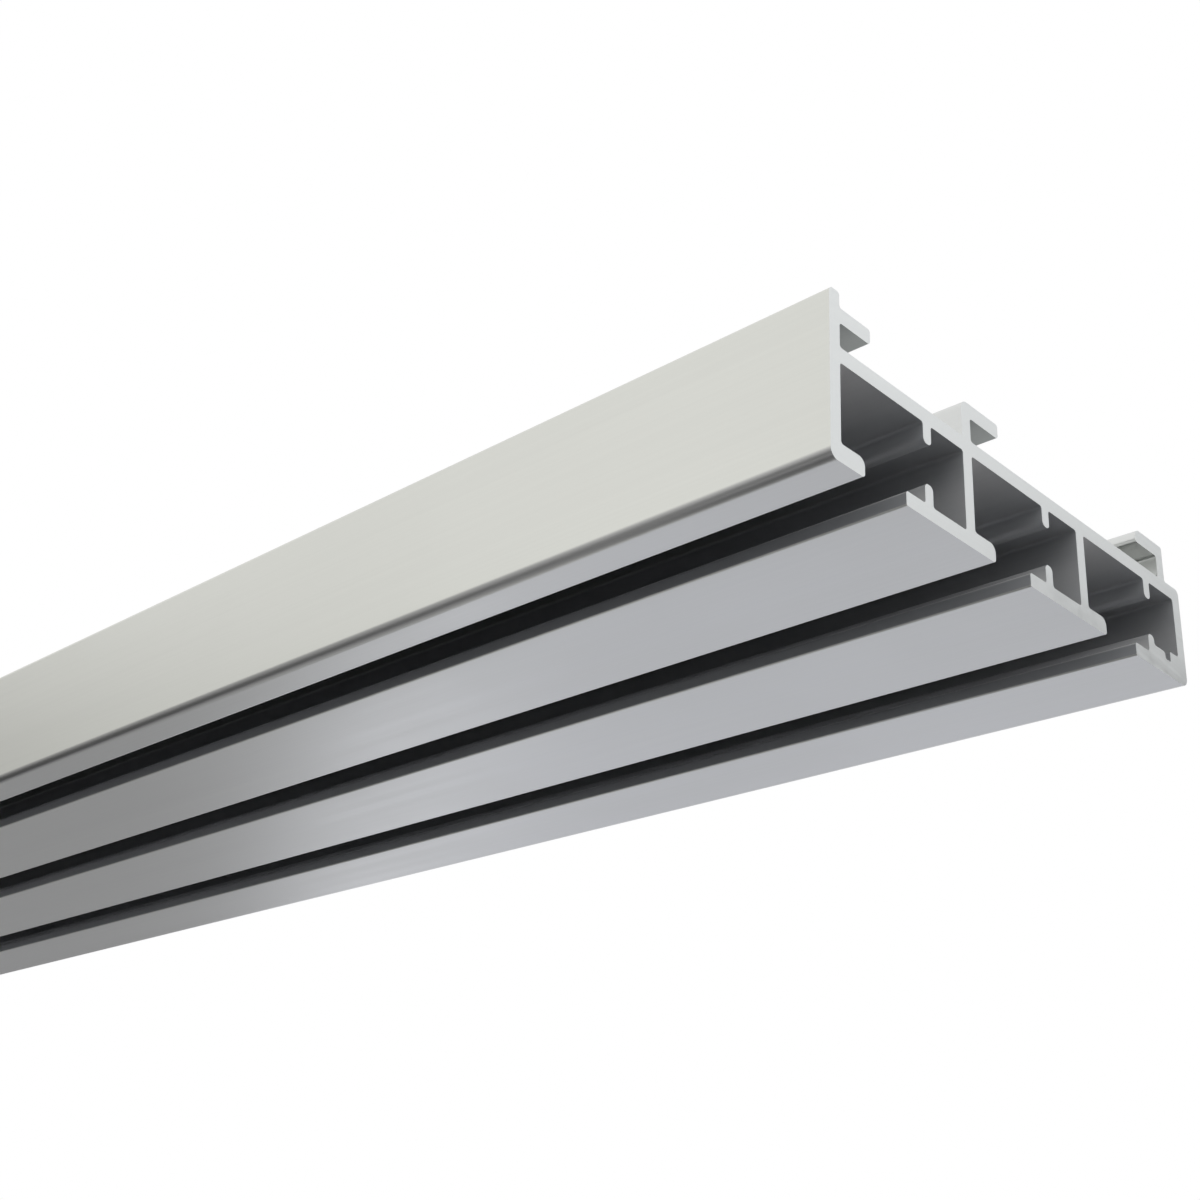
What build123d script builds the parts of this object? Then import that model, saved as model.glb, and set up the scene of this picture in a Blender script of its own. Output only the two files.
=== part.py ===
from build123d import *
import os

os.makedirs("parts", exist_ok=True)

# A three-channel curtain track, extruded in one piece from aluminium and sawn square.
# X runs along the track, Y from the fascia to the rear wall and Z up, in millimetres.
# The origin is at the middle of the length and width, on the underside.

# Length of the cut piece
track_length = 600.0

# Upright walls, from front to rear
fascia_thickness = 1.4
divider_thickness = 1.4
rear_wall_thickness = 1.5

# One channel, measured from the rear face of the wall in front of it
channel_count = 3
channel_width = 18.1
lip_reach = 3.2
slot_width = 5.8

# Levels of the channels
lip_thickness = 1.75
shelf_thickness = 1.4
web_underside = 9.4
web_thickness = 1.5

# Ribs that face each other across each channel and fence off its cord passage
cord_passage_width = 5.05
rib_width = 1.2
rib_height = 2.0

# Hooks on top, which the ceiling clips grip, and the fascia's rise above them
hook_clearance = 2.4
hook_thickness = 1.5
hook_reach = 4.3
middle_hook_reach = 4.7
hook_stem_thickness = 1.4
rear_hook_inset = 2.9
fascia_rise = 1.5

# Land, key groove and corner block in the cord passage of the rear channel
land_height = 1.1
key_groove_width = 1.1
key_groove_height = 0.35
corner_block_width = 1.75
corner_block_height = 1.5

# Radii of the section
fascia_top_radius = 0.5
fascia_foot_radius = 0.9
lip_foot_radius = 0.4
lip_top_radius = 0.8
shelf_foot_radius = 0.15
shelf_top_radius = 0.3
hook_tip_radius = 0.4
hook_shoulder_flat = 0.1
rear_top_radius = 0.6
rear_foot_radius = 1.0
root_radius = 0.3
land_radius = 0.4
key_groove_radius = 0.2
rib_tip_flat = 0.2

# Places that follow from the sizes
channel_pitch = channel_width + divider_thickness
channels_width = channel_count * channel_pitch - divider_thickness
overall_width = fascia_thickness + channels_width + rear_wall_thickness
front_face = -overall_width / 2
rear_face = overall_width / 2
fascia_back = front_face + fascia_thickness
rear_wall_front = rear_face - rear_wall_thickness
channel_starts = [fascia_back + i * channel_pitch for i in range(channel_count)]
rib_setback = channel_width - cord_passage_width - rib_width
web_top = web_underside + web_thickness
hook_underside = web_top + hook_clearance
hook_top = hook_underside + hook_thickness
fascia_height = hook_top + fascia_rise
hook_shoulder_radius = hook_thickness - hook_tip_radius - hook_shoulder_flat
rib_tip_radius = (rib_width - rib_tip_flat) / 2
upper_rib_tip = web_underside - rib_height
lower_rib_tip = shelf_thickness + rib_height
middle_stem_front = channel_starts[1] - divider_thickness
middle_stem_back = middle_stem_front + hook_stem_thickness
rear_stem_back = rear_face - rear_hook_inset
rear_stem_front = rear_stem_back - hook_stem_thickness
land_front = rear_wall_front - cord_passage_width
land_top = shelf_thickness + land_height
key_groove_back = rear_wall_front - corner_block_width
key_groove_front = key_groove_back - key_groove_width
key_groove_floor = shelf_thickness + key_groove_height
corner_block_top = shelf_thickness + corner_block_height


def panel(y_low, y_high, z_low, z_high, mode=Mode.ADD):
    """Add or cut one straight-sided stretch of the section."""
    with Locations(((y_low + y_high) / 2, (z_low + z_high) / 2)):
        Rectangle(y_high - y_low, z_high - z_low, mode=mode)


def round_corners(sketch, radius, corners):
    """Round the corners of the section that stand at the given places."""
    chosen = [sketch.vertices().sort_by_distance((y, z, 0))[0] for y, z in corners]
    fillet(chosen, radius=radius)


with BuildPart() as track_profile:
    with BuildSketch(Plane.YZ) as section:
        # Outer box of the channels, with the fascia standing above it
        panel(front_face, rear_face, 0, web_top)
        panel(front_face, fascia_back, 0, fascia_height)

        lip_feet = []
        lip_tops = []
        shelf_feet = []
        shelf_tops = []
        rib_tips = []
        roots = []
        for start in channel_starts:
            end = start + channel_width
            slot_front = start + lip_reach
            slot_back = slot_front + slot_width
            rib_front = start + rib_setback
            rib_back = rib_front + rib_width
            # The chamber, which is deeper over the shelf than over the lip
            panel(start, end, lip_thickness, web_underside, Mode.SUBTRACT)
            panel(slot_front, end, shelf_thickness, web_underside, Mode.SUBTRACT)
            panel(slot_front, slot_back, 0, web_underside, Mode.SUBTRACT)
            # The rib under the web and the rib on the shelf
            panel(rib_front, rib_back, upper_rib_tip, web_underside)
            panel(rib_front, rib_back, shelf_thickness, lower_rib_tip)

            lip_feet += [(slot_front, 0)]
            lip_tops += [(slot_front, lip_thickness)]
            shelf_feet += [(slot_back, 0)]
            shelf_tops += [(slot_back, shelf_thickness)]
            rib_tips += [(rib_front, upper_rib_tip), (rib_back, upper_rib_tip)]
            rib_tips += [(rib_front, lower_rib_tip), (rib_back, lower_rib_tip)]
            roots += [(start, lip_thickness), (start, web_underside), (end, web_underside)]
            roots += [(rib_front, web_underside), (rib_back, web_underside)]
            roots += [(rib_front, shelf_thickness)]
            if start != channel_starts[-1]:
                roots += [(rib_back, shelf_thickness), (end, shelf_thickness)]

        # Land, key groove and corner block behind the last rib
        panel(land_front, key_groove_front, shelf_thickness, land_top)
        panel(key_groove_front, key_groove_back, shelf_thickness, key_groove_floor)
        panel(key_groove_back, rear_wall_front, shelf_thickness, corner_block_top)
        roots += [(land_front, land_top), (rear_wall_front, corner_block_top)]
        key_groove_corners = [(key_groove_front, key_groove_floor)]
        key_groove_corners += [(key_groove_back, key_groove_floor)]
        key_groove_corners += [(key_groove_back, corner_block_top)]

        # Ledge on the fascia, open to the rear
        fascia_ledge_tip = fascia_back + hook_reach
        panel(fascia_back, fascia_ledge_tip, hook_underside, hook_top)
        roots += [(fascia_back, z) for z in (web_top, hook_underside, hook_top)]

        # Hook above the first divider, open to the rear
        middle_ledge_tip = middle_stem_back + middle_hook_reach
        panel(middle_stem_front, middle_stem_back, web_top, hook_top)
        panel(middle_stem_front, middle_ledge_tip, hook_underside, hook_top)
        roots += [(middle_stem_front, web_top), (middle_stem_back, web_top)]
        roots += [(middle_stem_back, hook_underside)]

        # Hook near the rear wall, open to the front
        rear_ledge_tip = rear_stem_front - hook_reach
        panel(rear_stem_front, rear_stem_back, web_top, hook_top)
        panel(rear_ledge_tip, rear_stem_back, hook_underside, hook_top)
        roots += [(rear_stem_front, web_top), (rear_stem_back, web_top)]
        roots += [(rear_stem_front, hook_underside)]

        ledge_tips = [fascia_ledge_tip, middle_ledge_tip, rear_ledge_tip]
        hook_shoulders = [(middle_stem_front, hook_top), (rear_ledge_tip, hook_top)]
        top_edges = [(fascia_back, fascia_height), (fascia_ledge_tip, hook_top)]
        top_edges += [(middle_ledge_tip, hook_top), (rear_stem_back, hook_top)]
        round_corners(section, lip_foot_radius, lip_feet)
        round_corners(section, lip_top_radius, lip_tops)
        round_corners(section, shelf_foot_radius, shelf_feet)
        round_corners(section, shelf_top_radius, shelf_tops)
        round_corners(section, rib_tip_radius, rib_tips)
        round_corners(section, root_radius, roots + top_edges)
        round_corners(section, key_groove_radius, key_groove_corners)
        round_corners(section, land_radius, [(key_groove_front, land_top)])
        round_corners(section, hook_tip_radius, [(tip, hook_underside) for tip in ledge_tips])
        round_corners(section, hook_shoulder_radius, hook_shoulders)
        round_corners(section, fascia_foot_radius, [(front_face, 0)])
        round_corners(section, fascia_top_radius, [(front_face, fascia_height)])
        round_corners(section, rear_top_radius, [(rear_face, web_top)])
        round_corners(section, rear_foot_radius, [(rear_face, 0)])
    extrude(amount=track_length / 2, both=True)

track_profile.part.label = "track_profile"
export_step(track_profile.part, "parts/track_profile.step")
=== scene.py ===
"""The looks of a three-channel curtain track: satin natural anodised aluminium, on a pale stage."""

import math

import bmesh
import bpy
from mathutils import Matrix, Vector


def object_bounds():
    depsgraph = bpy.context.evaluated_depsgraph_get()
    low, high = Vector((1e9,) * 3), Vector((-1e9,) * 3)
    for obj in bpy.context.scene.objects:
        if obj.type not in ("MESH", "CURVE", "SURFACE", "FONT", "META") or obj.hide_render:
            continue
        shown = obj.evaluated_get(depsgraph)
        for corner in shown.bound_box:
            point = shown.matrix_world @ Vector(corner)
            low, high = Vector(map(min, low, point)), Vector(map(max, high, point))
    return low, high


bl_info = {
    "name": "Curtain Track",
    "version": (1, 0, 0),
    "blender": (4, 5, 0),
    "location": "3D View > Sidebar > Curtain Track",
    "description": "Finishes an extruded curtain track and sets it on a pale stage",
    "category": "Object",
}

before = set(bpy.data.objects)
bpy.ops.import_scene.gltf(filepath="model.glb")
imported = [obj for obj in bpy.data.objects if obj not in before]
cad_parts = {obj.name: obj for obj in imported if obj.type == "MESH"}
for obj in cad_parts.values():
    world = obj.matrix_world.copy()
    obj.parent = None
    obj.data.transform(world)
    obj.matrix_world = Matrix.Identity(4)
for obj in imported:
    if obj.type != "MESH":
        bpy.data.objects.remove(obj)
CAD_BOX = [list(corner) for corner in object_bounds()]
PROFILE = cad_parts["track_profile"]

MM = 0.001

# Places in the section that the finish follows
FRONT_FACE, REAR_FACE = CAD_BOX[0][1], CAD_BOX[1][1]
WEB_UNDERSIDE, WEB_TOP = 9.4 * MM, 10.9 * MM
FASCIA_THICKNESS = 1.4 * MM
CHANNEL_PITCH = 19.5 * MM

# Distances behind the wall in front of a channel: the back of its ribs and its next wall
RIB_BACK, NEXT_WALL = 13.05 * MM, 18.1 * MM

# The range in which a noise mostly lies, and how far each mark shades or roughens the metal
NOISE_LOW, NOISE_HIGH = 0.3, 0.7
STREAK_LENGTH = 0.9
STREAK_SHADE, STREAK_ROUGHNESS = (0.982, 1.014), 0.022
BRUSH_SHADE = (0.99, 1.01)
CLOUD_ROUGHNESS = 0.02
SAW_SHADE, SAW_ROUGHNESS = (0.975, 1.015), 0.06
# How much darker the sawn end gets low down and towards the rear
LOW_REAR_DIM = 0.8

# The lamp, and the distances at which the floor begins and ends its fade to white
LAMP_PLACE, LAMP_SIZE, LAMP_WATTS = (0.2, 0.1, 1.5), 1.2, 12.0
FADE_START, FADE_END = 7.0, 20.0

# Cards round the track: name, azimuth, elevation, distance, width, height and colour as light.
# They face the centre, and their edges soften over a share of their distance.
CARD_CENTRE = Vector((0.22, 0.0, 0.0))
CARD_FEATHER = 0.10
CARDS = (
    ("card_back_low", 205.0, -25.0, 1.0, 1.20, 0.80, (0.66, 0.67, 0.75)),
    ("card_left_low", 255.0, -22.0, 0.98, 0.85, 0.86, (0.335, 0.335, 0.355)),
    ("card_back_bright", 232.5, -20.0, 0.96, 0.20, 0.70, (0.92, 0.93, 1.02)),
    ("card_front_left", 300.0, 10.0, 1.2, 0.97, 0.51, (0.49, 0.49, 0.48)),
    ("card_front_low", 285.0, -20.0, 1.2, 1.25, 1.05, (0.09, 0.09, 0.09)),
    ("card_back_high", 217.0, 32.0, 1.2, 1.10, 0.80, (0.30, 0.33, 0.34)),
    ("card_below", 0.0, -90.0, 0.8, 1.20, 1.20, (0.07, 0.07, 0.075)),
    ("card_front_below", 20.0, -33.0, 1.2, 2.60, 1.22, (0.055, 0.055, 0.055)),
    ("card_right_back", 158.0, 14.0, 1.2, 0.95, 0.62, (0.22, 0.22, 0.22)),
)


# Sizes and colours


class TrackFinish(bpy.types.PropertyGroup):
    """The anodised metal and its marks"""

    metal_colour: bpy.props.FloatVectorProperty(
        name="Metal colour", description="Colour of the anodised faces",
        subtype="COLOR", size=3, min=0.0, max=1.0, default=(0.685, 0.69, 0.648),
    )
    plain_colour: bpy.props.FloatVectorProperty(
        name="Plain colour", description="Colour of the top, the hooks and the back, not brushed",
        subtype="COLOR", size=3, min=0.0, max=1.0, default=(0.69, 0.70, 0.688),
    )
    # Painted shade: this darker colour inside the channels and under the hook ledges stands in for
    # the shade that falls there.
    inner_painted_shade: bpy.props.FloatVectorProperty(
        name="Inner painted shade", description="Colour inside the channels, where no brush reaches",
        subtype="COLOR", size=3, min=0.0, max=1.0, default=(0.48, 0.49, 0.505),
    )
    # Painted light: this lighter colour, low in the channels, on the web behind the wall in front
    # and low on the next wall, stands in for the light that reaches there.
    inner_painted_light: bpy.props.FloatVectorProperty(
        name="Inner painted light", description="Lighter colour of the shelves and other inner faces",
        subtype="COLOR", size=3, min=0.0, max=1.0, default=(0.75, 0.75, 0.75),
    )
    # Painted reflection: this darker colour on the rounded edge under the fascia stands in for the
    # dark surroundings that it reflects.
    foot_painted_reflection: bpy.props.FloatVectorProperty(
        name="Foot painted reflection", description="Colour of the rounded edge under the fascia",
        subtype="COLOR", size=3, min=0.0, max=1.0, default=(0.40, 0.40, 0.395),
    )
    sawn_colour: bpy.props.FloatVectorProperty(
        name="Sawn colour", description="Colour of the bare metal on the sawn ends",
        subtype="COLOR", size=3, min=0.0, max=1.0, default=(0.79, 0.81, 0.81),
    )
    roughness: bpy.props.FloatProperty(
        name="Roughness", description="Roughness of the anodised faces",
        subtype="FACTOR", min=0.0, max=1.0, default=0.34,
    )
    inner_roughness: bpy.props.FloatProperty(
        name="Inner roughness", description="Roughness inside the channels",
        subtype="FACTOR", min=0.0, max=1.0, default=0.75,
    )
    sawn_roughness: bpy.props.FloatProperty(
        name="Sawn roughness", description="Roughness of the sawn ends",
        subtype="FACTOR", min=0.0, max=1.0, default=0.5,
    )
    brush_line_spacing: bpy.props.FloatProperty(
        name="Brush line spacing", description="Width of the fine lines along the track",
        unit="LENGTH", subtype="DISTANCE", min=0.05 * MM, default=0.28 * MM,
    )
    brush_line_length: bpy.props.FloatProperty(
        name="Brush line length", description="Usual length of one fine line",
        unit="LENGTH", subtype="DISTANCE", min=1 * MM, default=45 * MM,
    )
    die_streak_spacing: bpy.props.FloatProperty(
        name="Die streak spacing", description="Width of the long streaks that the die leaves",
        unit="LENGTH", subtype="DISTANCE", min=0.2 * MM, default=2.2 * MM,
    )
    line_depth: bpy.props.FloatProperty(
        name="Line depth", description="Depth of the brush lines",
        unit="LENGTH", subtype="DISTANCE", min=0.0, default=0.0025 * MM,
    )
    saw_mark_spacing: bpy.props.FloatProperty(
        name="Saw mark spacing", description="Distance between two saw marks on an end",
        unit="LENGTH", subtype="DISTANCE", min=0.1 * MM, default=0.45 * MM,
    )
    saw_radius: bpy.props.FloatProperty(
        name="Saw radius", description="Radius of the blade that left the arcs on the ends",
        unit="LENGTH", subtype="DISTANCE", min=20 * MM, default=175 * MM,
    )


class TrackStage(bpy.types.PropertyGroup):
    """Floor, surround and camera"""

    floor_drop: bpy.props.FloatProperty(
        name="Floor drop", description="Height of the track's underside above the floor",
        unit="LENGTH", subtype="DISTANCE", min=0.0, default=0.9,
    )
    floor_radius: bpy.props.FloatProperty(
        name="Floor radius", description="Radius of the round floor",
        unit="LENGTH", subtype="DISTANCE", min=1.0, default=24.0,
    )
    floor_colour: bpy.props.FloatVectorProperty(
        name="Floor colour", description="Colour of the floor near the track",
        subtype="COLOR", size=3, min=0.0, max=1.0, default=(0.84, 0.84, 0.845),
    )
    sky_level: bpy.props.FloatProperty(
        name="Surround level", description="Strength of the soft light from all round",
        min=0.0, max=1.0, default=0.72,
    )
    camera_place: bpy.props.FloatVectorProperty(
        name="Camera place", description="Where the camera stands",
        unit="LENGTH", subtype="TRANSLATION", size=3, default=(0.36938, -0.12405, -0.06796),
    )
    camera_aim: bpy.props.FloatVectorProperty(
        name="Camera aim", description="The point in the middle of the picture",
        unit="LENGTH", subtype="TRANSLATION", size=3, default=(0.24515, 0.0, 0.014586),
    )
    camera_roll: bpy.props.FloatProperty(
        name="Camera roll", description="Turn of the camera about its own line of sight",
        subtype="ANGLE", default=math.radians(3.099),
    )
    camera_lens: bpy.props.FloatProperty(
        name="Lens", description="Focal length of the camera on a 36 mm wide sensor",
        subtype="DISTANCE_CAMERA", unit="CAMERA", min=10.0, default=50.86,
    )


# Shader helpers


def add_node(tree, kind, **settings):
    """Adds a node to a tree, with its settings and the values of its unlinked inputs."""
    node = tree.nodes.new(kind)
    inputs = settings.pop("inputs", {})
    for name, value in settings.items():
        setattr(node, name, value)
    for key, value in inputs.items():
        if isinstance(value, bpy.types.NodeSocket):
            tree.links.new(value, node.inputs[key])
        else:
            node.inputs[key].default_value = value
    return node


def add_maths(tree, operation, first, second=0.0):
    """Adds one step of arithmetic on two values and returns its output."""
    node = add_node(tree, "ShaderNodeMath", operation=operation, inputs={0: first, 1: second})
    return node.outputs[0]


def add_ramp(tree, value, low, high, to_low=0.0, to_high=1.0, smooth=True):
    """Maps a value from one range to another and returns the output."""
    node = add_node(
        tree, "ShaderNodeMapRange",
        interpolation_type="SMOOTHSTEP" if smooth else "LINEAR",
        inputs={"Value": value, "From Min": low, "From Max": high,
                "To Min": to_low, "To Max": to_high},
    )
    return node.outputs["Result"]


def new_group(name, inputs, outputs):
    """Starts a node group with named sockets and returns its tree, inputs and output node."""
    tree = bpy.data.node_groups.new(name, "ShaderNodeTree")
    for socket, kind in inputs:
        tree.interface.new_socket(socket, in_out="INPUT", socket_type=kind)
    for socket, kind in outputs:
        tree.interface.new_socket(socket, in_out="OUTPUT", socket_type=kind)
    given = tree.nodes.new("NodeGroupInput")
    made = tree.nodes.new("NodeGroupOutput")
    return tree, given.outputs, made.inputs


def place_group(tree, group, **inputs):
    """Places a node group in a tree and sets its inputs."""
    node = tree.nodes.new("ShaderNodeGroup")
    node.node_tree = group
    for name, value in inputs.items():
        socket = node.inputs[name.replace("_", " ").capitalize()]
        if isinstance(value, bpy.types.NodeSocket):
            tree.links.new(value, socket)
        else:
            socket.default_value = value
    return node.outputs


FLOAT, VECTOR = "NodeSocketFloat", "NodeSocketVector"


def extrusion_lines_group():
    """Lines along X: fine brush lines and the long streaks that the die leaves."""
    tree, given, made = new_group(
        "Extrusion lines",
        [("Place", VECTOR), ("Line spacing", FLOAT), ("Line length", FLOAT),
         ("Streak spacing", FLOAT)],
        [("Brush lines", FLOAT), ("Die streaks", FLOAT), ("Clouding", FLOAT)],
    )
    apart = add_node(tree, "ShaderNodeSeparateXYZ", inputs={0: given["Place"]})

    def stretched(length, spacing, detail, shift):
        across = add_maths(tree, "DIVIDE", 1.0, spacing)
        along = add_maths(tree, "DIVIDE", 1.0, length)
        x = add_maths(tree, "MULTIPLY_ADD", apart.outputs["X"], along)
        x.node.inputs[2].default_value = shift
        y = add_maths(tree, "MULTIPLY", apart.outputs["Y"], across)
        z = add_maths(tree, "MULTIPLY", apart.outputs["Z"], across)
        place = add_node(tree, "ShaderNodeCombineXYZ", inputs={"X": x, "Y": y, "Z": z})
        noise = add_node(
            tree, "ShaderNodeTexNoise", noise_dimensions="3D",
            inputs={"Vector": place.outputs[0], "Scale": 1.0, "Detail": detail,
                    "Roughness": 0.55},
        )
        return noise.outputs["Fac"]

    fine = stretched(given["Line length"], given["Line spacing"], detail=2.0, shift=3.1)
    streak = stretched(STREAK_LENGTH, given["Streak spacing"], detail=3.0, shift=11.7)
    cloud = add_node(
        tree, "ShaderNodeTexNoise", noise_dimensions="3D",
        inputs={"Vector": given["Place"], "Scale": 28.0, "Detail": 3.0, "Roughness": 0.5},
    )
    tree.links.new(fine, made["Brush lines"])
    tree.links.new(streak, made["Die streaks"])
    tree.links.new(cloud.outputs["Fac"], made["Clouding"])
    return tree


def saw_marks_group():
    """Arcs that a round blade leaves on a sawn end."""
    tree, given, made = new_group(
        "Saw marks",
        [("Place", VECTOR), ("Spacing", FLOAT), ("Radius", FLOAT)],
        [("Marks", FLOAT), ("Grain", FLOAT), ("Darker low rear", FLOAT)],
    )
    apart = add_node(tree, "ShaderNodeSeparateXYZ", inputs={0: given["Place"]})
    drop = add_maths(tree, "ADD", apart.outputs["Z"], given["Radius"])
    wander = add_node(
        tree, "ShaderNodeTexNoise", noise_dimensions="3D",
        inputs={"Vector": given["Place"], "Scale": 160.0, "Detail": 2.0},
    )
    hub = add_node(tree, "ShaderNodeCombineXYZ",
                   inputs={"Y": apart.outputs["Y"], "Z": drop})
    reach = add_node(tree, "ShaderNodeVectorMath", operation="LENGTH",
                     inputs={0: hub.outputs[0]})
    turns = add_maths(tree, "DIVIDE", reach.outputs["Value"], given["Spacing"])
    strayed = add_maths(tree, "MULTIPLY_ADD", wander.outputs["Fac"], 1.6)
    tree.links.new(turns, strayed.node.inputs[2])
    line = add_node(
        tree, "ShaderNodeTexNoise", noise_dimensions="1D",
        inputs={"W": strayed, "Scale": 1.0, "Detail": 3.0, "Roughness": 0.6},
    )
    grain = add_node(
        tree, "ShaderNodeTexNoise", noise_dimensions="3D",
        inputs={"Vector": given["Place"], "Scale": 5200.0, "Detail": 2.0},
    )
    # Darker low down and towards the rear of the end, in patches
    low = add_ramp(tree, apart.outputs["Z"], 0.3 * MM, 4 * MM, 1.0, 0.0)
    rear = add_ramp(tree, apart.outputs["Y"], -10 * MM, 12 * MM)
    patch = add_node(
        tree, "ShaderNodeTexNoise", noise_dimensions="3D",
        inputs={"Vector": given["Place"], "Scale": 420.0, "Detail": 2.0},
    )
    patchy = add_ramp(tree, patch.outputs["Fac"], 0.35, 0.65, 0.55, 1.0)
    low_rear_patches = add_maths(tree, "MULTIPLY", add_maths(tree, "MULTIPLY", low, rear), patchy)
    tree.links.new(low_rear_patches, made["Darker low rear"])
    tree.links.new(line.outputs["Fac"], made["Marks"])
    tree.links.new(grain.outputs["Fac"], made["Grain"])
    return tree


def profile_zones_group():
    """Masks for the zones of the section that the brushed faces don't cover: painted shade inside
    the channels and under the hooks, painted light on inner faces, the plain faces, and a painted
    dark reflection on the foot.
    """
    tree, given, made = new_group(
        "Profile zones", [("Place", VECTOR), ("Facing up", FLOAT)],
        [("Inside", FLOAT), ("Light", FLOAT), ("Plain", FLOAT), ("Foot", FLOAT)],
    )
    apart = add_node(tree, "ShaderNodeSeparateXYZ", inputs={0: given["Place"]})
    y, z = apart.outputs["Y"], apart.outputs["Z"]

    def overlap(first, *others):
        for other in others:
            first = add_maths(tree, "MULTIPLY", first, other)
        return first

    # Inside the channels, and partly so under the ledges of the two front hooks: painted shade in
    # the colour, and the rougher inner finish
    above_lips = add_ramp(tree, z, 0.04 * MM, 0.2 * MM)
    below_web = add_ramp(tree, z, WEB_UNDERSIDE + 0.2 * MM, WEB_UNDERSIDE + 0.4 * MM, 1.0, 0.0)
    off_centre = add_maths(tree, "ABSOLUTE", y)
    between = add_ramp(tree, off_centre, REAR_FACE - 0.7 * MM, REAR_FACE - 0.4 * MM, 1.0, 0.0)
    channels = overlap(above_lips, below_web, between)
    above_web = add_ramp(tree, z, WEB_TOP + 0.8 * MM, WEB_TOP + 1.2 * MM)
    facing_down = add_ramp(tree, given["Facing up"], -0.9, -0.4, 0.35, 0.0)
    before_rear = add_ramp(tree, y, 5 * MM, 10 * MM, 1.0, 0.0)
    under_hooks = overlap(above_web, facing_down, before_rear)
    inside = add_maths(tree, "MAXIMUM", channels, under_hooks)

    # The top behind the fascia's face, and the rear face
    on_top = add_ramp(tree, z, WEB_TOP - 0.9 * MM, WEB_TOP - 0.5 * MM)
    behind_face = add_ramp(tree, y, FRONT_FACE + 0.2 * MM, FRONT_FACE + 0.5 * MM)
    rear = add_ramp(tree, y, REAR_FACE - 0.4 * MM, REAR_FACE - 0.1 * MM)
    plain = add_maths(tree, "MAXIMUM", overlap(on_top, behind_face), rear)

    # The rounded edge under the fascia, for its painted dark reflection
    low = add_ramp(tree, z, 0.65 * MM, 1.05 * MM, 1.0, 0.0)
    near_face = add_ramp(tree, y, FRONT_FACE + 0.3 * MM, FRONT_FACE + 0.8 * MM, 1.0, 0.0)
    foot = overlap(low, near_face)

    # Painted light in each channel: lighter low down as far as the ribs
    across = add_maths(tree, "SUBTRACT", y, FRONT_FACE + FASCIA_THICKNESS)
    in_channel = add_maths(tree, "FLOORED_MODULO", across, CHANNEL_PITCH)
    above_slots = add_ramp(tree, z, 1.1 * MM, 1.35 * MM)
    near_shelf = add_ramp(tree, z, 1.6 * MM, 4.4 * MM, 1.0, 0.0)
    before_rib = add_ramp(tree, in_channel, RIB_BACK - 0.6 * MM, RIB_BACK, 1.0, 0.3)
    light = overlap(above_slots, near_shelf, before_rib)

    # More painted light: the web close behind the wall in front, and the face of the next wall,
    # more so low down
    on_web = add_ramp(tree, z, WEB_UNDERSIDE - 1.2 * MM, WEB_UNDERSIDE - 0.1 * MM)
    near_wall = add_ramp(tree, in_channel, 0.5 * MM, 9.5 * MM, 1.0, 0.0, smooth=False)
    light = add_maths(tree, "MAXIMUM", light, overlap(on_web, near_wall))
    at_next_wall = add_ramp(tree, in_channel, NEXT_WALL - 0.3 * MM, NEXT_WALL - 0.05 * MM)
    down_wall = add_ramp(tree, z, 4.8 * MM, 8.0 * MM, 0.5, 0.15)
    light = add_maths(tree, "MAXIMUM", light, overlap(at_next_wall, down_wall))
    light = overlap(light, below_web)

    for name, mask in (("Inside", inside), ("Light", light), ("Plain", plain), ("Foot", foot)):
        tree.links.new(mask, made[name])
    return tree


# Pieces


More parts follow.
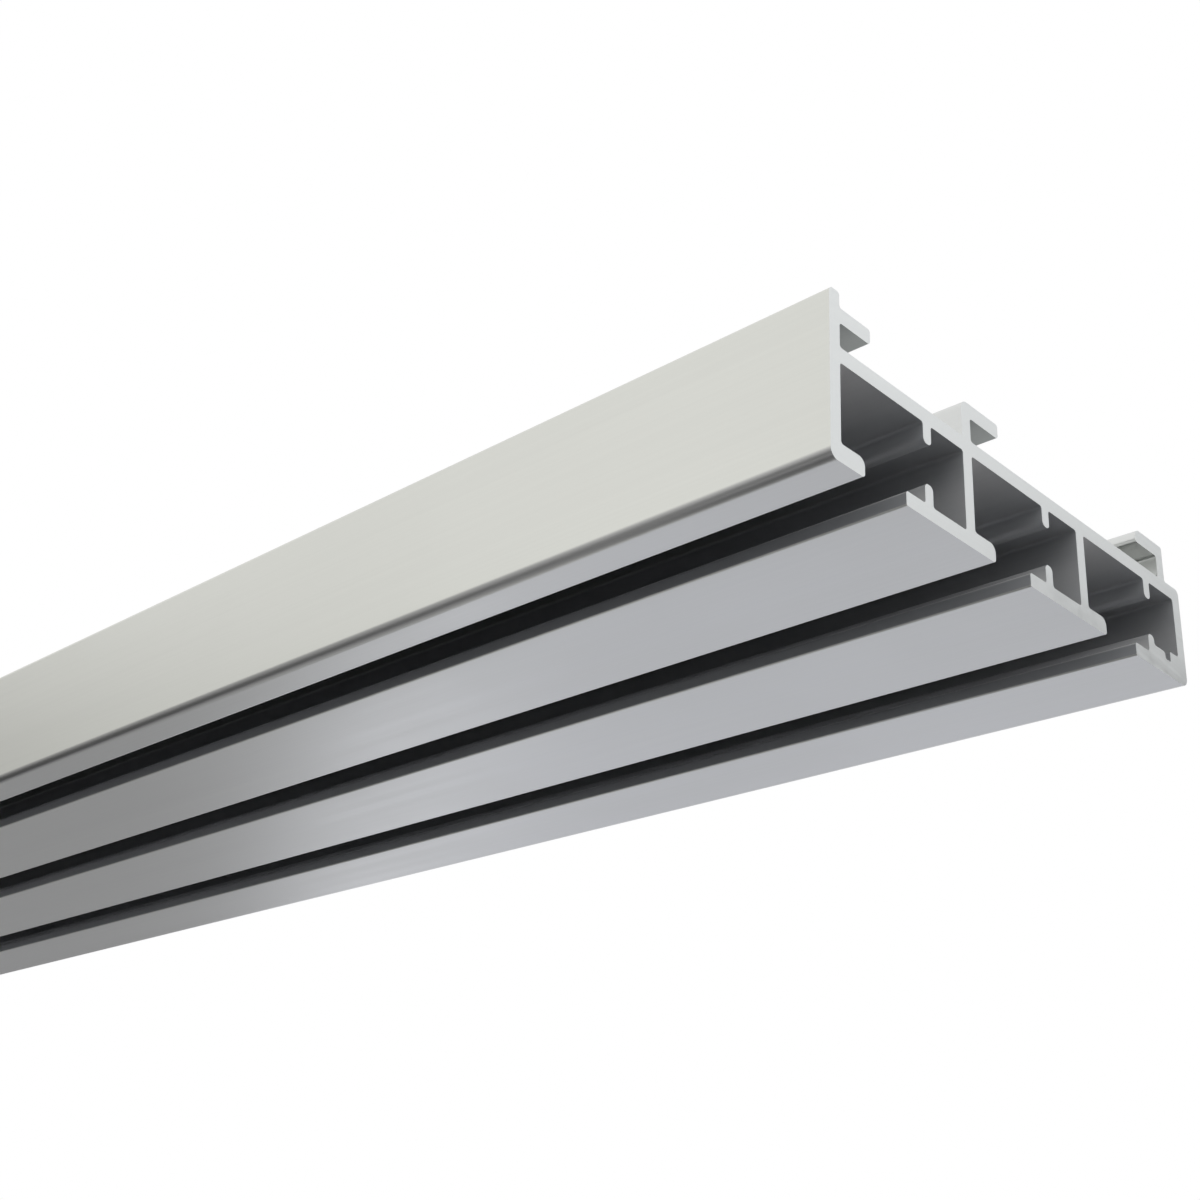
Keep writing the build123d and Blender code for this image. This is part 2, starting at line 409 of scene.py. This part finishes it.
class TRACK_OT_finish_profile(bpy.types.Operator):
    """Gives the extruded profile its satin anodised metal and its sawn ends"""

    bl_idname = "track.finish_profile"
    bl_label = "Finish the profile"

    def execute(self, context):
        finish = context.scene.track_finish
        metal = bpy.data.materials.new("anodised_aluminium_satin")
        metal.use_nodes = True
        tree = metal.node_tree
        tree.nodes.clear()
        place = add_node(tree, "ShaderNodeTexCoord").outputs["Object"]
        normal = add_node(tree, "ShaderNodeNewGeometry").outputs["True Normal"]

        lines = place_group(
            tree, extrusion_lines_group(), place=place,
            line_spacing=finish.brush_line_spacing, line_length=finish.brush_line_length,
            streak_spacing=finish.die_streak_spacing,
        )
        marks = place_group(tree, saw_marks_group(), place=place,
                            spacing=finish.saw_mark_spacing, radius=finish.saw_radius)

        facing = add_node(tree, "ShaderNodeSeparateXYZ", inputs={0: normal})
        zones = place_group(tree, profile_zones_group(), place=place,
                            facing_up=facing.outputs["Z"])
        sideways = add_maths(tree, "ABSOLUTE", facing.outputs["X"])
        sawn = add_ramp(tree, sideways, 0.6, 0.9)

        # Colour: brushed faces, plain top, painted shade inside with painted light on the shelves
        # and walls, a painted dark reflection on the foot, and lighter sawn ends
        def blend(mask, first, second):
            mix = add_node(tree, "ShaderNodeMix", data_type="RGBA", inputs={"Factor": mask})
            for socket, colour in ((mix.inputs[6], first), (mix.inputs[7], second)):
                if isinstance(colour, bpy.types.NodeSocket):
                    tree.links.new(colour, socket)
                else:
                    socket.default_value = (*colour, 1.0)
            return mix.outputs[2]

        face = blend(zones["Plain"], finish.metal_colour, finish.plain_colour)
        # Painted shade inside the channels and under the hooks, lightened by painted light on the
        # shelves and walls
        inner = blend(zones["Light"], finish.inner_painted_shade, finish.inner_painted_light)
        face = blend(zones["Inside"], face, inner)
        # Painted dark reflection on the rounded foot
        face = blend(zones["Foot"], face, finish.foot_painted_reflection)
        streak_shade = add_ramp(tree, lines["Die streaks"], NOISE_LOW, NOISE_HIGH, *STREAK_SHADE,
                                smooth=False)
        brush_shade = add_ramp(tree, lines["Brush lines"], NOISE_LOW, NOISE_HIGH, *BRUSH_SHADE,
                               smooth=False)
        shade = add_maths(tree, "MULTIPLY", streak_shade, brush_shade)
        mark_shade = add_ramp(tree, marks["Marks"], NOISE_LOW, NOISE_HIGH, *SAW_SHADE,
                              smooth=False)
        # The sawn end made darker low down and towards the rear
        low_rear_dimming = add_ramp(tree, marks["Darker low rear"], 0.0, 1.0, 1.0, LOW_REAR_DIM, smooth=False)
        saw_shade = add_maths(tree, "MULTIPLY", mark_shade, low_rear_dimming)
        film = add_node(tree, "ShaderNodeVectorMath", operation="SCALE",
                        inputs={0: face, "Scale": shade})
        bare = add_node(tree, "ShaderNodeVectorMath", operation="SCALE",
                        inputs={0: finish.sawn_colour, "Scale": saw_shade})
        colour = blend(sawn, film.outputs[0], bare.outputs[0])

        # Roughness: uneven in the streaks and where the film clouds, and dull inside
        streak_rough = add_ramp(tree, lines["Die streaks"], NOISE_LOW, NOISE_HIGH,
                                finish.roughness - STREAK_ROUGHNESS,
                                finish.roughness + STREAK_ROUGHNESS)
        cloud_rough = add_ramp(tree, lines["Clouding"], NOISE_LOW, NOISE_HIGH,
                               -CLOUD_ROUGHNESS, CLOUD_ROUGHNESS)
        dull_rough = add_node(tree, "ShaderNodeMix", data_type="FLOAT",
                              inputs={"Factor": zones["Inside"], 2: streak_rough,
                                      3: finish.inner_roughness}).outputs["Result"]
        film_rough = add_maths(tree, "ADD", dull_rough, cloud_rough)
        saw_rough = add_ramp(tree, marks["Marks"], NOISE_LOW, NOISE_HIGH,
                             finish.sawn_roughness - SAW_ROUGHNESS,
                             finish.sawn_roughness + SAW_ROUGHNESS)
        rough = add_node(tree, "ShaderNodeMix", data_type="FLOAT",
                         inputs={"Factor": sawn, 2: film_rough, 3: saw_rough})

        # Height: brush lines on the faces, saw marks and grain on the ends
        saw_height = add_maths(tree, "MULTIPLY_ADD", marks["Grain"], 0.5)
        tree.links.new(marks["Marks"], saw_height.node.inputs[2])
        height = add_node(tree, "ShaderNodeMix", data_type="FLOAT",
                          inputs={"Factor": sawn, 2: lines["Brush lines"], 3: saw_height})
        bump = add_node(
            tree, "ShaderNodeBump",
            inputs={"Strength": 1.0, "Distance": finish.line_depth,
                    "Height": height.outputs["Result"]},
        )

        shader = add_node(
            tree, "ShaderNodeBsdfPrincipled",
            inputs={"Base Color": colour, "Metallic": 1.0,
                    "Roughness": rough.outputs["Result"], "Normal": bump.outputs[0]},
        )
        add_node(tree, "ShaderNodeOutputMaterial", inputs={"Surface": shader.outputs[0]})

        if len(PROFILE.material_slots) != 1:
            raise RuntimeError("the profile is expected to have one material slot")
        PROFILE.material_slots[0].material = metal
        return {"FINISHED"}


class TRACK_OT_build_stage(bpy.types.Operator):
    """Makes the floor, the surround, the lamp, the cards and the camera"""

    bl_idname = "track.build_stage"
    bl_label = "Build the stage"

    def execute(self, context):
        stage = context.scene.track_stage
        make_floor(context, stage)
        make_surround(context, stage)
        make_lamp(context)
        for card in CARDS:
            make_card(context, *card)
        make_camera(context, stage)
        return {"FINISHED"}


def make_floor(context, stage):
    """A round pale floor that fades to white far out."""
    shape = bmesh.new()
    bmesh.ops.create_circle(shape, cap_ends=True, segments=96, radius=stage.floor_radius)
    bmesh.ops.translate(shape, verts=shape.verts, vec=(0.0, 0.0, -stage.floor_drop))
    mesh = bpy.data.meshes.new("floor")
    shape.to_mesh(mesh)
    shape.free()
    floor = bpy.data.objects.new("floor", mesh)
    context.collection.objects.link(floor)

    paint = bpy.data.materials.new("pale_floor")
    paint.use_nodes = True
    tree = paint.node_tree
    tree.nodes.clear()
    place = add_node(tree, "ShaderNodeTexCoord").outputs["Object"]
    flat = add_node(tree, "ShaderNodeVectorMath", operation="MULTIPLY",
                    inputs={0: place, 1: (1.0, 1.0, 0.0)})
    far = add_node(tree, "ShaderNodeVectorMath", operation="LENGTH",
                   inputs={0: flat.outputs[0]})
    fade = add_ramp(tree, far.outputs["Value"], FADE_START, FADE_END)
    matt = add_node(tree, "ShaderNodeBsdfPrincipled",
                    inputs={"Base Color": (*stage.floor_colour, 1.0), "Roughness": 0.9,
                            "Specular IOR Level": 0.2})
    white = add_node(tree, "ShaderNodeEmission",
                     inputs={"Color": (1.0, 1.0, 1.0, 1.0), "Strength": 1.0})
    mixed = add_node(tree, "ShaderNodeMixShader",
                     inputs={0: fade, 1: matt.outputs[0], 2: white.outputs[0]})
    add_node(tree, "ShaderNodeOutputMaterial", inputs={"Surface": mixed.outputs[0]})
    mesh.materials.append(paint)


def make_surround(context, stage):
    """White all round as seen, and in the metal, with a softer level as light."""
    world = bpy.data.worlds.new("studio")
    context.scene.world = world
    world.use_nodes = True
    tree = world.node_tree
    tree.nodes.clear()
    ray = add_node(tree, "ShaderNodeLightPath").outputs
    seen = add_maths(tree, "MAXIMUM", ray["Is Camera Ray"], ray["Is Glossy Ray"])
    seen = add_maths(tree, "MAXIMUM", seen, ray["Is Transmission Ray"])
    level = add_ramp(tree, seen, 0.0, 1.0, stage.sky_level, 1.0, smooth=False)
    light = add_node(tree, "ShaderNodeBackground",
                     inputs={"Color": (1.0, 1.0, 1.0, 1.0), "Strength": level})
    add_node(tree, "ShaderNodeOutputWorld", inputs={"Surface": light.outputs[0]})


def make_lamp(context):
    """A square soft lamp straight above, which isn't seen itself, nor in the metal."""
    light = bpy.data.lights.new("lamp_above", "AREA")
    light.shape = "SQUARE"
    light.size = LAMP_SIZE
    light.energy = LAMP_WATTS
    lamp = bpy.data.objects.new("lamp_above", light)
    lamp.location = LAMP_PLACE
    lamp.visible_camera = lamp.visible_glossy = False
    context.collection.objects.link(lamp)


def make_card(context, name, azimuth, elevation, distance, width, height, level):
    """A soft-edged studio card that only shows in the metal, turned to the track's near end.

    Azimuth 0 stands in front of the fascia and 90 to the right of the near end, in degrees.
    """
    shape = bmesh.new()
    bmesh.ops.create_grid(shape, x_segments=1, y_segments=1, size=0.5)
    bmesh.ops.scale(shape, verts=shape.verts, vec=(width, height, 1.0))
    mesh = bpy.data.meshes.new(name)
    shape.to_mesh(mesh)
    shape.free()
    card = bpy.data.objects.new(name, mesh)
    turn, rise = math.radians(azimuth), math.radians(elevation)
    away = Vector((math.sin(turn) * math.cos(rise), -math.cos(turn) * math.cos(rise),
                   math.sin(rise)))
    card.matrix_world = (Matrix.Translation(CARD_CENTRE + distance * away)
                         @ away.to_track_quat("Z", "Y").to_matrix().to_4x4())
    card.visible_camera = card.visible_diffuse = card.visible_shadow = False
    card.visible_transmission = card.visible_volume_scatter = False
    context.collection.objects.link(card)

    paint = bpy.data.materials.new(name)
    paint.use_nodes = True
    paint.cycles.emission_sampling = "NONE"
    tree = paint.node_tree
    tree.nodes.clear()
    place = add_node(tree, "ShaderNodeTexCoord").outputs["Object"]
    apart = add_node(tree, "ShaderNodeSeparateXYZ", inputs={0: place})
    sides = []
    for axis, size in (("X", width), ("Y", height)):
        off = add_maths(tree, "ABSOLUTE", apart.outputs[axis])
        feather = min(CARD_FEATHER * distance, size / 2)
        sides.append(add_ramp(tree, off, size / 2 - feather, size / 2, 1.0, 0.0))
    cover = add_maths(tree, "MULTIPLY", *sides)
    clear = add_node(tree, "ShaderNodeBsdfTransparent")
    glow = add_node(tree, "ShaderNodeEmission", inputs={"Color": (*level, 1.0)})
    mixed = add_node(tree, "ShaderNodeMixShader",
                     inputs={0: cover, 1: clear.outputs[0], 2: glow.outputs[0]})
    add_node(tree, "ShaderNodeOutputMaterial", inputs={"Surface": mixed.outputs[0]})
    mesh.materials.append(paint)


def make_camera(context, stage):
    """The camera at the photograph's place, aim and roll."""
    lens = bpy.data.cameras.new("camera")
    lens.sensor_width = 36.0
    lens.lens = stage.camera_lens
    lens.clip_start = 0.005
    lens.clip_end = 100.0
    camera = bpy.data.objects.new("camera", lens)
    context.collection.objects.link(camera)
    place, aim = Vector(stage.camera_place), Vector(stage.camera_aim)
    level = (aim - place).to_track_quat("-Z", "Y").to_matrix().to_4x4()
    turn = Matrix.Rotation(stage.camera_roll, 4, "Z")
    camera.matrix_world = Matrix.Translation(place) @ level @ turn
    context.scene.camera = camera


# Panel and registration


class TRACK_PT_sidebar(bpy.types.Panel):
    """Lists the track's pieces, sizes and colours in the sidebar"""

    bl_idname = "TRACK_PT_sidebar"
    bl_label = "Curtain Track"
    bl_space_type = "VIEW_3D"
    bl_region_type = "UI"
    bl_category = "Curtain Track"

    def draw(self, context):
        for settings in (context.scene.track_finish, context.scene.track_stage):
            box = self.layout.box()
            for name in settings.__annotations__:
                box.prop(settings, name)
        for operator in (TRACK_OT_finish_profile, TRACK_OT_build_stage):
            self.layout.operator(operator.bl_idname)


CLASSES = (
    TrackFinish,
    TrackStage,
    TRACK_OT_finish_profile,
    TRACK_OT_build_stage,
    TRACK_PT_sidebar,
)


def register():
    for item in CLASSES:
        bpy.utils.register_class(item)
    bpy.types.Scene.track_finish = bpy.props.PointerProperty(type=TrackFinish)
    bpy.types.Scene.track_stage = bpy.props.PointerProperty(type=TrackStage)


def unregister():
    del bpy.types.Scene.track_stage
    del bpy.types.Scene.track_finish
    for item in reversed(CLASSES):
        bpy.utils.unregister_class(item)


def main():
    register()
    bpy.context.scene.view_settings.view_transform = "Standard"
    bpy.ops.track.finish_profile()
    bpy.ops.track.build_stage()


if __name__ == "__main__":
    main()
